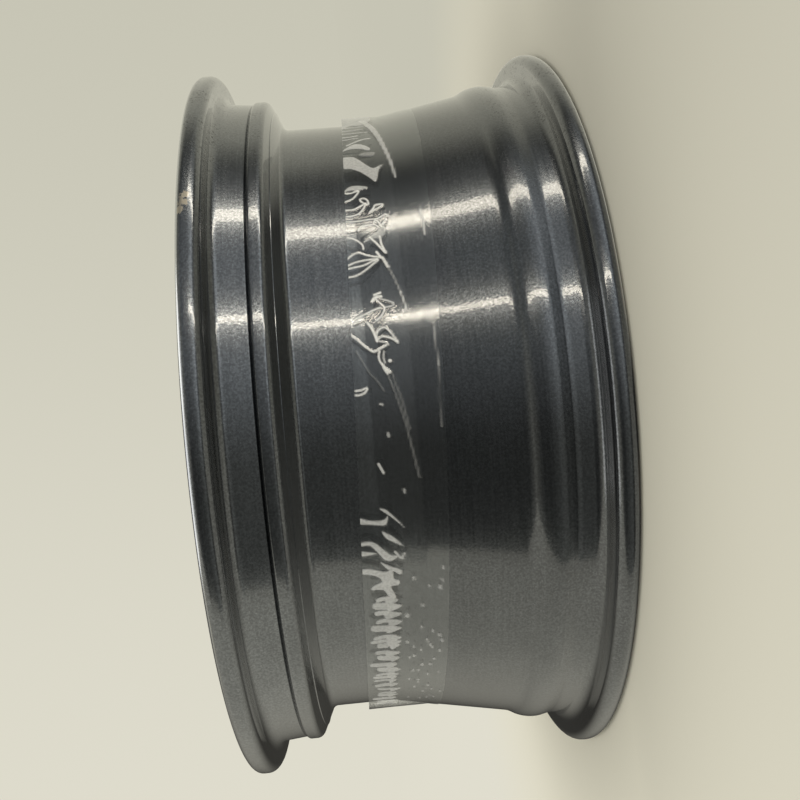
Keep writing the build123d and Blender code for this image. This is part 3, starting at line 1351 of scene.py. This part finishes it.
@dataclass
class TapeBand:
    """The band of clear tape, wound a little askew, with creases and air under its front margin."""

    width: float = 45.0
    margin_r: float = 204.15
    meet_z: float = -43.9
    slope: float = math.tan(math.radians(10.54))
    front_edge_z: float = -13.0
    skew: float = 8.0
    margin: float = 20.0
    rows: int = 64
    steps: int = 1400
    line_soft: float = 0.8
    patch_soft: float = 0.9
    free_width: float = 30.0
    wave_height: float = 0.04
    wave_count: int = 14
    hidden: Triple = (168.0, 372.0, 3.1)
    seed: int = 12
    marks: tuple[Mark, ...] = ()

    def rest_radius(self, z: np.ndarray) -> np.ndarray:
        """Radius of the flat tape at a height."""
        return self.margin_r + np.maximum(self.meet_z - z, 0.0) * self.slope

    def edge_z(self, polar: np.ndarray) -> np.ndarray:
        """Height of the tape's front edge at a polar angle."""
        return self.front_edge_z - self.skew * np.cos(polar)

    def hidden_marks(self) -> list[Mark]:
        """Seeded marks for the part of the tape that the photograph doesn't show."""
        rng = np.random.default_rng(self.seed)
        made = []
        for angle in np.arange(*self.hidden):
            foot, half = float(angle + rng.uniform(-0.8, 0.8)), float(rng.uniform(0.3, 1.1))
            tip, reach = foot + float(rng.uniform(-2, 2)), float(rng.uniform(6, 19))
            points = (
                (foot - half, -0.5),
                (foot - half, reach / 2),
                (tip, reach),
                (foot + half, reach / 2),
                (foot + half, -0.5),
            )
            made.append(patch(*points, haze_and_glint=0.45) if rng.random() < 0.5 else crease(*points, haze_and_glint=0.7))
        return made

    def build(self, film: Material) -> Object:
        """Winds the tape, with finer rows and steps where its marks are seen.

        Args:
            film: The clear film.

        Returns:
            The piece.
        """
        bm = bmesh.new()
        bmesh.ops.create_grid(bm, x_segments=self.steps, y_segments=self.rows, size=1.0)
        mesh = bpy.data.meshes.new("tape")
        bm.to_mesh(mesh)
        bm.free()
        flat = np.empty(len(mesh.vertices) * 3, np.float32)
        mesh.vertices.foreach_get("co", flat)
        grid = flat.reshape(-1, 3).astype(float)

        # Most steps go to the seen side, and most rows to the margin
        polar = np.radians(np.interp(grid[:, 0], (-1, -0.97, 0.43, 1), (-180, -166, -14, 180)))
        inset = np.interp(-grid[:, 1], (-1, 0.25, 1), (0, self.margin, self.width))
        z = self.edge_z(polar) - inset
        lift, haze_and_glint = self.relief(polar, inset)
        radius = self.rest_radius(z) + lift
        out = np.column_stack((radius * np.cos(polar), radius * np.sin(polar), z)) * MM
        mesh.vertices.foreach_set("co", out.astype(np.float32).ravel())
        # Each place's haze and painted glint, for the film's material
        attribute = mesh.attributes.new("haze_and_glint", "FLOAT", "POINT")
        attribute.data.foreach_set("value", haze_and_glint.astype(np.float32))
        mesh.materials.append(film)
        shade(mesh, 180.0)
        return hand_in(add_object(mesh, "tape_band"), TAPE_NODE)

    def relief(self, polar: np.ndarray, inset: np.ndarray) -> tuple[np.ndarray, np.ndarray]:
        """How far the film is lifted, and how pale it is, at each place.

        Args:
            polar: The polar angle of each place.
            inset: Its distance in from the front edge.

        Returns:
            The lift in millimetres and the haze and painted glint from nought to one.
        """
        lift, haze_and_glint = np.zeros_like(polar), np.zeros_like(polar)
        rng = np.random.default_rng(self.seed + 1)
        free = np.clip(1 - inset / self.free_width, 0, 1)
        for _ in range(self.wave_count):
            waves, across, phase = rng.integers(14, 60), rng.uniform(-0.12, 0.12), rng.uniform(0, TAU)
            wave = np.sin(waves * polar + across * inset + phase)
            lift += self.wave_height * free * wave / (waves / 30)
        for mark in (*self.marks, *self.hidden_marks()):
            near, share = self.cover(mark, polar, inset)
            lift[near] = np.maximum(lift[near], mark.height * share)
            haze_and_glint[near] = np.maximum(haze_and_glint[near], mark.haze_and_glint * share)
        return lift, haze_and_glint

    def cover(self, mark: Mark, polar: np.ndarray, inset: np.ndarray) -> tuple[np.ndarray, np.ndarray]:
        """How fully a mark covers the places near it.

        Args:
            mark: The mark.
            polar: The polar angle of each place.
            inset: Its distance in from the front edge.

        Returns:
            Which places are near, and the share from nought to one at each of them.
        """
        curve = mark.curve()
        centre = math.radians(-curve[:, 0].mean())
        around = (polar - centre + math.pi) % TAU - math.pi
        u, v = around * self.margin_r, inset
        cu, cv = (np.radians(-curve[:, 0]) - centre) * self.margin_r, curve[:, 1]
        near = (u > cu.min() - 2) & (u < cu.max() + 2) & (v > cv.min() - 2) & (v < cv.max() + 2)
        u, v = u[near], v[near]
        apart = np.full(u.shape, 1e3)
        line = np.zeros(u.shape)
        inside = np.zeros(u.shape, bool)
        widths = np.linspace(mark.width, mark.end_width, len(cu))
        for a, b, c, d, wide in zip(cu, cv, cu[1:], cv[1:], widths):
            du, dv = c - a, d - b
            t = np.clip(((u - a) * du + (v - b) * dv) / max(du * du + dv * dv, 1e-9), 0, 1)
            off = np.hypot(u - a - du * t, v - b - dv * t)
            apart = np.minimum(apart, off)
            line = np.maximum(line, (wide / 2 - off) / self.line_soft + 0.5)
            crosses = (b > v) != (d > v)
            inside ^= crosses & (u < du * (v - b) / (dv if dv else 1e-9) + a)
        if mark.filled:
            side = np.clip(0.5 + np.where(inside, apart, -apart) / self.patch_soft, 0, 1)
        else:
            side = np.clip(line, 0, 1)
        return near, side * side * (3 - 2 * side)


# The marks that are seen, painted pale or bright: partly haze, partly painted highlights and reflections
# of the lights and the room
SEEN_MARKS = (
    # Top: the pale corner, the big fold and the fine lines beside it
    patch((17, -0.5), (17, 17), (24, 18.5), (29, 15), (30, 10), (29.5, 5), (31, -0.5), haze_and_glint=0.35),
    crease(
        (26, 12.5), (31, 17.2), (36, 20.8), (41, 23.8), (46, 26.6), (50.4, 28.4), haze_and_glint=0.5,
        width=4.6, end=0.9,
    ),
    crease((31.2, -0.5), (30.8, 6), (30.4, 13), haze_and_glint=0.55, width=1.1),
    crease((32.9, -0.5), (32.6, 6), (32.2, 12), haze_and_glint=0.5, width=1.1),
    crease((34.4, -0.5), (34.2, 8), (34.0, 15), haze_and_glint=0.5, width=1.1),
    crease((36.2, -0.5), (36.0, 5), (35.6, 9), haze_and_glint=0.55, width=1.3),
    crease((37.4, -0.5), (37.0, 5), (36.8, 9), haze_and_glint=0.5, width=1.0),
    crease((39.6, 2.5), (38.2, 8), (37.5, 12), (37.2, 16), haze_and_glint=0.6, width=1.3),
    patch(
        (41.7, -0.5), (40.3, 3), (39.3, 7), (39.6, 11), (41, 15.5), (41.9, 15), (41.3, 11),
        (41, 7), (41.2, 3),
    ),
    patch((43.4, 9), (42.6, 13), (42.8, 18), (43.8, 17), (43.8, 12), haze_and_glint=0.25),
    patch(
        (44, -0.5), (43.9, 6), (45.3, 10), (46.9, 14), (47.5, 17), (46.6, 22), (48, 19.7),
        (51, 17.6), (49.9, 14), (48.3, 9), (47.3, 4), (46.9, -0.5),
    ),
    patch((53, -0.5), (51.9, 3), (51.8, 8), (52.3, 12.8), (52.8, 8), (52.8, 3)),
    # Bright outlines above the first strip of light
    crease((53.3, -0.5), (53.4, 3), (53, 7.6), (54.4, 5), (55, 2), (55.2, -0.5)),
    crease((54.9, 8), (54.7, 10), (55.2, 12), (56.1, 12.4), (55.9, 10.5), (55.3, 8.5), (54.9, 8)),
    crease((57, -0.5), (57, 4), (56.4, 8), (55.8, 11), (57, 9.5), (57.9, 7), (58.3, 3), (58.3, -0.5)),
    crease((57.8, 12.8), (57, 15), (56.3, 16.3), (56.3, 20.4), (57, 17.5), (57.8, 12.8)),
    crease((59.3, -0.5), (59.4, 6), (59.2, 12), (59.1, 17), (58.3, 21.5), (59.4, 21), (60.3, 19.2)),
    crease((61.2, 6.2), (60.5, 8), (60.3, 12), (60.3, 15), (60.9, 17.4)),
    crease((60, 14.6), (59.4, 15.8), (60, 17.5), (60.8, 18.6)),
    patch(
        (60.6, 19.5), (61.6, 16), (62.4, 12), (63.6, 8.4), (62.9, 14), (62.8, 18), (61.6, 21),
        haze_and_glint=0.4,
    ),
    # Shell of lines below it
    crease((62.3, -0.5), (62.6, 3), (63.2, 6), (63.9, 8), (64.6, 8.4)),
    crease((62.6, 12), (63.6, 15), (64.6, 17.5), (65.5, 19.8), (64, 18), (62.6, 17.4), width=1.1),
    crease((65.3, 15.2), (66.3, 17.2), width=1.3),
    crease((66.3, 18), (67.9, 20.5), width=1.5, haze_and_glint=0.85),
    crease((66.2, -0.5), (65.4, 3), (65.2, 6), (65.6, 9), (66, 13), (66.2, 16.6)),
    crease((67.3, -0.5), (66.8, 4), (66.6, 8), (66.5, 12), (66.5, 15)),
    crease((67.8, -0.5), (67.6, 4), (67.4, 8), (66.9, 12), (66.5, 15.6)),
    crease((69.2, -0.5), (69, 4), (68.4, 8), (67.5, 12), (66.7, 15.6)),
    crease((68, 20.7), (70, 23.6), (72, 26), haze_and_glint=0.3),
    crease((72, 26), (73.6, 27.6), (75.2, 28.8), haze_and_glint=0.7),
    crease((58.5, 40), (60.5, 40.4), (63.3, 40.8), haze_and_glint=0.6, width=1.2),
    # Hooks and the leaf round the second strip
    crease((72.3, 12.6), (72, 15.8), width=1.1),
    crease((73.2, 11.6), (72.7, 13), (72.6, 16), width=1.5),
    crease((72.9, 13), (73.6, 15.4), (74.2, 17.2), (74.8, 17.2), (75.6, 15.6), (76.2, 13.2)),
    crease((73, 16), (73.3, 19), (73.8, 22.4), (74.2, 21), (74.3, 18), haze_and_glint=0.6),
    crease((74.3, 15.6), (74.6, 12), (75.2, 7), (75.8, 2)),
    crease((76.4, 8.4), (77.4, 10.6), (78.4, 12), (79.2, 12.8), width=1.3),
    crease(
        (79.3, 13), (78.3, 12.7), (77.6, 14), (77.3, 17), (78, 19.6), (79, 22), (79.7, 23.4),
        (79.2, 21.4), (78.8, 18.5), (78.6, 15.5), (78.9, 13.6),
    ),
    crease((79.2, 13), (79.4, 15.5), (79.5, 17.5), (79.9, 18.4), haze_and_glint=0.7),
    crease(
        (78, -0.5), (78.8, 3), (79.8, 6.5), (80.4, 9), (80.7, 11), (80.5, 13), (79.9, 17.4),
        width=1.1,
    ),
    crease((80.7, 13.8), (81.5, 13.2), (82.3, 14), (83, 15.5), (84, 17.2)),
    crease((80.8, 16), (81.6, 15.6), (82.4, 16.2), haze_and_glint=0.6),
    patch((82.3, 14.6), (82.9, 16.2), (83.8, 19.4), (84, 17), (83.2, 15), haze_and_glint=0.9),
    crease((82.2, 18.6), (82.2, 19), width=1.5),
    # Long thin lines into the dark
    crease((84, 17.2), (85.4, 18.8), (87.6, 21.5), (91, 25), (95, 28), (99, 31), haze_and_glint=0.13, width=1.0),
    crease((84.2, 19.6), (85.8, 21.4), (88.5, 24.4), (92, 27), haze_and_glint=0.12, width=1.0),
    crease((80.5, 2), (82, 5), (83.6, 8), (85, 12), (86.4, 15), haze_and_glint=0.10),
    crease((77, 41.4), (79.4, 42), (81, 42.3), (83.5, 43), haze_and_glint=0.4, width=0.6),
    crease((83.5, 43), (87, 42.4), (92, 42.8), haze_and_glint=0.18, width=0.6),
    crease((86.1, 0.8), (86, 4), (85.8, 6.6), (86.4, 5.6), (86.7, 3), (86.7, 0.8)),
    crease((88.2, 12.8), (88.3, 14), haze_and_glint=0.6),
    crease((92.4, 16), (92.8, 16.3), haze_and_glint=0.4, width=1.4),
    crease((96.6, 10.6), (97.9, 12.9), haze_and_glint=0.6, width=1.2),
    crease((100.6, 22.8), (101, 23.2), haze_and_glint=0.4, width=1.2),
    # Pale fingers towards the bottom
    patch(
        (103.1, 10), (103.3, 13), (104.1, 16), (104.9, 18.6), (106.3, 22.4), (105.2, 18.6),
        (104.5, 16), (103.7, 12.6),
    ),
    patch(
        (104.3, -0.5), (104.7, 4), (104.9, 8), (104.8, 12.3), (104.3, 14.2), (105.6, 13),
        (105.5, 8), (105.3, 4), (105.1, -0.5),
    ),
    patch((106.6, 10.8), (107, 13.5), (107.7, 17), (109.1, 21.3), (108.4, 16.6), (107.7, 13)),
    patch(
        (108.1, -0.5), (108, 4), (108.4, 7.5), (109.4, 11), (110.5, 15), (110.7, 18.7),
        (111.4, 15.5), (111.2, 12), (110.3, 9.4), (109.3, 6.8), (108.6, 4), (108.6, -0.5),
    ),
    patch((109.5, -0.5), (109.7, 4), (110, 7.6), (110.2, 4), (110.2, -0.5)),
    crease((110, 17.2), (111.2, 20.6), (110.4, 21.8), haze_and_glint=0.5, width=1.2),
    patch(
        (111.5, 9.5), (111.9, 12), (112.4, 15), (113.2, 20.4), (113.9, 19.4), (113.3, 16.5),
        (112.8, 13),
    ),
    patch(
        (112.5, -0.5), (112.5, 4), (112.9, 8), (113.2, 12), (113, 15.6), (114.5, 16.2),
        (114.9, 19), (115.7, 18.6), (115.9, 14.6), (117, 16), (118.1, 17), (117.7, 13.4),
        (116.4, 10.4), (116.2, 4.4), (115.5, 5.5), (114.9, 9.8), (114.1, 8.4), (113.5, 4),
        (113.2, -0.5),
    ),
)


def rungs(first: float = 117.6, last: float = 151.0, bubbles: int = 46) -> tuple[Mark, ...]:
    """The rungs of trapped air towards the bottom, which grow together, and loose bubbles, painted pale
    as haze and painted reflection.

    Args:
        first: The angle of the first rung.
        last: The angle where they end.
        bubbles: How many bubbles there are.

    Returns:
        The marks.
    """
    rng = np.random.default_rng(41)
    made, angle = [], first
    while angle < last:
        start, end = rng.uniform(2, 7), rng.uniform(12.5, 17)
        deep, bend = rng.uniform(0.7, 1.5), rng.uniform(-0.3, 0.5)
        rung = (
            (bend, start),
            (0.0, (start + end) / 2),
            (0.2, end),
            (deep, end - 0.5),
            (deep, (start + end) / 2),
            (deep * 0.8 + bend, start),
        )
        rung_haze_and_glint, link, reach = rng.uniform(0.42, 0.55), rng.uniform(10, 13), rng.uniform(16, 20)
        joint = ((0.4, link), (0.3, link + 3), (0.8, reach), (1.4, reach - 2), (1.8, link + 1))
        for outline, haze_and_glint in ((rung, rung_haze_and_glint), (joint, rng.uniform(0.42, 0.55))):
            made.append(patch(*[(angle + around, inset) for around, inset in outline], haze_and_glint=haze_and_glint))
        angle += deep + rng.uniform(0.1, 0.9)
    for _ in range(bubbles):
        spot, inset = 150 - 38 * rng.random() ** 1.5, rng.uniform(22, 43)
        ends = ((spot, inset), (spot + 0.4, inset + 0.2))
        made.append(crease(*ends, haze_and_glint=0.35, width=rng.uniform(0.9, 1.7)))
    return tuple(made)


# Studio


@dataclass
class Strip:
    """A narrow upright strip light beside the camera. Metres."""

    name: str
    x: float
    y: float
    width: float
    low: float = -0.27
    high: float = 0.10
    radiance: float = 7.5


@dataclass
class Studio:
    """A plain pale room with a dark side, two strip lights, a soft light above and the camera."""

    low_colour: str = "e0ddce"
    high_colour: str = "c6c4b4"
    dark_colour: str = "70716c"
    glow_colour: str = "c6cacb"
    shadow_colour: str = "3d3c38"
    strip_colour: str = "fff5e2"
    floor_colour: str = "e8e3cd"
    fill_level: float = 0.72

    # Bearings in degrees, each with half the width of its soft edge
    dark_from: Point = (-140.7, 1.2)
    dark_to: Point = (13.0, 11.0)
    glow_from: Point = (-84.0, 22.0)
    glow_to: Point = (-10.0, 20.0)
    shadow_from: Point = (82.0, 6.0)
    shadow_to: Point = (141.0, 29.0)
    dark_tilt: Point = (-0.2, 0.048)

    # Smooth steps over a direction's height, and over the floor's X and Y
    dark_levels: tuple = ((-0.16, 0.22, 1.1, 0.5), (-0.32, -0.20, 1.5, 1.0), (-0.60, -0.42, 0.15, 1.0))
    dark_limits: tuple = ((-0.78, -0.60), (0.50, 0.90, 1, 0.45))
    dim_end: tuple = (-0.88, -0.60, 0.40, 0)
    # Painted light and shade on the floor: darker towards +X, and brighter beside and behind the wheel,
    # where its shadow falls
    floor_painted_light_and_shade: tuple = ((-0.25, 0.4, 1.04, 0.68), (-0.22, -0.06, 1.0, 1.4))
    floor_radius: float = 9.0
    floor_fade: Point = (0.26, 0.7)
    floor_brightest: float = 1.1
    camera_right: Triple = (-0.0861, -0.0503, -0.9950)
    camera_up: Triple = (0.99627, 0.0, -0.08624)
    camera_back: Triple = (0.00434, -0.99873, 0.0501)
    camera_place: Triple = (0.00955, -0.64659, -0.0139)
    lens_mm: float = 39.857
    key_place: Triple = (0.0, -0.05, 1.35)
    key_size: float = 1.2
    key_watts: float = 5.0

    def build(self, lit: Sequence[Object]) -> None:
        """Makes the whole studio.

        Args:
            lit: The pieces that the strips shine on.
        """
        self.room()
        self.floor()
        self.key()
        self.strips(
            (
                Strip("strip_wide", 0.559, -0.327, 0.050),
                Strip("strip_narrow", 0.275, -0.530, 0.020, radiance=12.0),
            ),
            lit,
        )
        self.camera()
        bpy.context.scene.view_settings.view_transform = "Standard"

    def room(self) -> None:
        """The pale room, which polished things see with its dark side towards the camera."""
        world = bpy.data.worlds.new("room")
        bpy.context.scene.world = world
        world.use_nodes = True
        tree = world.node_tree
        tree.nodes.clear()
        direction = add_node(tree, "TexCoord").outputs["Generated"]
        x, y, z = add_node(tree, "SeparateXYZ", (direction,)).outputs
        bearing = add_node(tree, "Math", (y, x), operation="ARCTAN2")
        tilt = add_node(tree, "Math", (z, *self.dark_tilt), operation="MULTIPLY_ADD")
        tilted = add_node(tree, "Math", (bearing, tilt), operation="ADD")
        path = add_node(tree, "LightPath").outputs
        shown = glossy = path["Is Glossy Ray"]
        for kind in ("Is Camera Ray", "Is Transmission Ray"):
            shown = add_node(tree, "Math", (shown, path[kind]), operation="MAXIMUM")

        def edge(bearings: Node, at: Point, *ends: float) -> tuple:
            """A soft step at a bearing."""
            return (bearings, math.radians(at[0] - at[1]), math.radians(at[0] + at[1]), *ends)

        # The dark side, with a glow at one end and its brightness by height
        glow = stepped(tree, edge(bearing, self.glow_from), edge(bearing, self.glow_to, 1, 0))
        side = layered(tree, linear(self.dark_colour), (glow, linear(self.glow_colour)))
        level = stepped(tree, *[(z, *step) for step in self.dark_levels])
        side = add_node(tree, "VectorMath", {0: side, "Scale": level}, operation="SCALE")
        dark = stepped(
            tree,
            edge(tilted, self.dark_from),
            edge(bearing, self.dark_to, 1, 0),
            *[(z, *step) for step in self.dark_limits],
            (glossy, 0, 1),
        )

        # The shadow under the wheel, as its gloss sees it, and the dim end behind it
        ends = (edge(bearing, self.shadow_from), edge(bearing, self.shadow_to, 1, 0))
        under = stepped(tree, *ends, (glossy, 0, 1))
        layers = ((dark, side), (under, linear(self.shadow_colour)))
        tone = layered(tree, self.room_tone(tree, x), *layers)
        behind = stepped(tree, (z, *self.dim_end), (glossy, 0, 1))
        strength = add_node(tree, "Math", (1.0, behind), operation="SUBTRACT")
        plain = add_node(tree, "Background", (linear("ffffff"), self.fill_level))
        seen = add_node(tree, "Background", (tone, strength))
        add_node(tree, "OutputWorld", (add_node(tree, "MixShader", (shown, plain, seen)),))

    def room_tone(self, tree: NodeTree, side: NodeSocket | Node) -> NodeSocket:
        """The plain room's colour, a little paler towards one side.

        Args:
            tree: The tree that gets it.
            side: The share of a direction that points along X.

        Returns:
            The colour's output.
        """
        share = stepped(tree, (side, -0.55, 0.55))
        return layered(tree, linear(self.low_colour), (share, linear(self.high_colour)))

    def floor(self) -> None:
        """A wide pale floor under the wheel, matt, with painted light and shade on it, which fades to
        the room's colour far away.
        """
        bm = bmesh.new()
        bmesh.ops.create_circle(bm, cap_ends=True, segments=96, radius=self.floor_radius / MM)
        bmesh.ops.translate(bm, vec=(0, 0, cad_low.z / MM), verts=bm.verts)
        material, tree = new_material("matt_painted_floor")
        place = add_node(tree, "TexCoord").outputs["Object"]
        away = add_node(tree, "VectorMath", (place,), operation="LENGTH").outputs["Value"]
        x, y, _ = add_node(tree, "SeparateXYZ", (place,)).outputs
        # Painted light and shade: the floor darkens towards +X and brightens beside and behind the
        # wheel, which lifts the wheel's shadow there
        tone = stepped(
            tree,
            (even_grain(tree, (400, 400, 400), 2, 0.0), 0.3, 0.7, 0.985, 1.01),
            *[(axis, *step) for axis, step in zip((x, y), self.floor_painted_light_and_shade)],
        )
        tone = add_node(tree, "Math", (tone, self.floor_brightest), operation="MINIMUM")
        inputs = {0: linear(self.floor_colour)[:3], "Scale": tone}
        paint = add_node(tree, "BsdfDiffuse", (add_node(tree, "VectorMath", inputs, operation="SCALE"),))
        side = add_node(tree, "Math", (x, away), operation="DIVIDE")
        far = add_node(tree, "Emission", (self.room_tone(tree, side), 1.0))
        fade = stepped(tree, (away, *self.floor_fade))
        add_node(tree, "OutputMaterial", (add_node(tree, "MixShader", (fade, paint, far)),))
        floor = add_object(mesh_from(bm, "floor", (material,)), "floor")
        floor.visible_glossy = False

    def lamp(self, name: str, spot: Vector, target: Vector, size: Point, watts: float) -> Object:
        """A rectangular soft light.

        Args:
            name: The lamp's name.
            spot: Where it stands.
            target: What it faces.
            size: Its width and height.
            watts: Its power.

        Returns:
            The lamp.
        """
        data = bpy.data.lights.new(name, "AREA")
        data.shape, data.size, data.size_y, data.energy = "RECTANGLE", size[0], size[1], watts
        lamp = bpy.data.objects.new(name, data)
        lamp.location = spot
        lamp.rotation_euler = (target - spot).to_track_quat("-Z", "Y").to_euler()
        lamp.visible_camera = False
        bpy.context.scene.collection.objects.link(lamp)
        return lamp

    def key(self) -> None:
        """The large soft light above."""
        spot = Vector(self.key_place)
        size = (self.key_size, self.key_size)
        self.lamp("soft_light_above", spot, Vector((0.0, 0.0, 0.0)), size, self.key_watts)

    def strips(self, strips: Sequence[Strip], lit: Sequence[Object]) -> None:
        """The strip lights, which shine on the wheel and not on the floor.

        Args:
            strips: The strips.
            lit: The pieces that they shine on.
        """
        group = bpy.data.collections.new("strip_lit")
        for piece in lit:
            group.objects.link(piece)
        for strip in strips:
            height = strip.high - strip.low
            middle = (strip.high + strip.low) / 2
            spot = Vector((strip.x, strip.y, middle))
            watts = strip.radiance * math.pi * strip.width * height
            target = Vector((0.0, 0.0, middle))
            lamp = self.lamp(strip.name, spot, target, (strip.width, height), watts)
            lamp.data.color = linear(self.strip_colour)[:3]
            lamp.light_linking.receiver_collection = group

    def camera(self) -> None:
        """The camera, level with the wheel's middle and turned on its side as in the photograph."""
        data = bpy.data.cameras.new("camera")
        data.sensor_width, data.lens, data.clip_start = 36.0, self.lens_mm, 0.01
        camera = bpy.data.objects.new("camera", data)
        axes = Matrix((self.camera_right, self.camera_up, self.camera_back)).transposed()
        turn = axes.to_4x4().to_quaternion()
        camera.matrix_world = Matrix.LocRotScale(Vector(self.camera_place), turn, None)
        bpy.context.scene.collection.objects.link(camera)
        bpy.context.scene.camera = camera


def main() -> None:
    """Builds the wheel piece by piece, then the studio."""
    logging.basicConfig(level=logging.INFO, format="%(name)s: %(message)s")
    scuffs = (
        Scuff(60.0, 235.6, 61.6, 5.4),
        Scuff(61.1, 235.4, 62.6, 5.6),
        Scuff(62.2, 235.0, 63.6, 5.4),
        Scuff(47.0, 222.0, -127.0, 4.0),
        Scuff(66.0, 233.0, -139.0, 4.0),
    )
    coat = GunmetalCoat(scuffs=scuffs).material()
    face = TurnedFace().material()
    valve = ValveHole()
    rim = Rim().build(coat, face, valve)
    disc = SpokedDisc().build(coat, face, valve)
    tape = TapeBand(marks=SEEN_MARKS + rungs()).build(ClearFilm().material())
    Studio().build((rim, disc, tape))
    LOG.info("sizes kept")


if __name__ == "__main__":
    main()
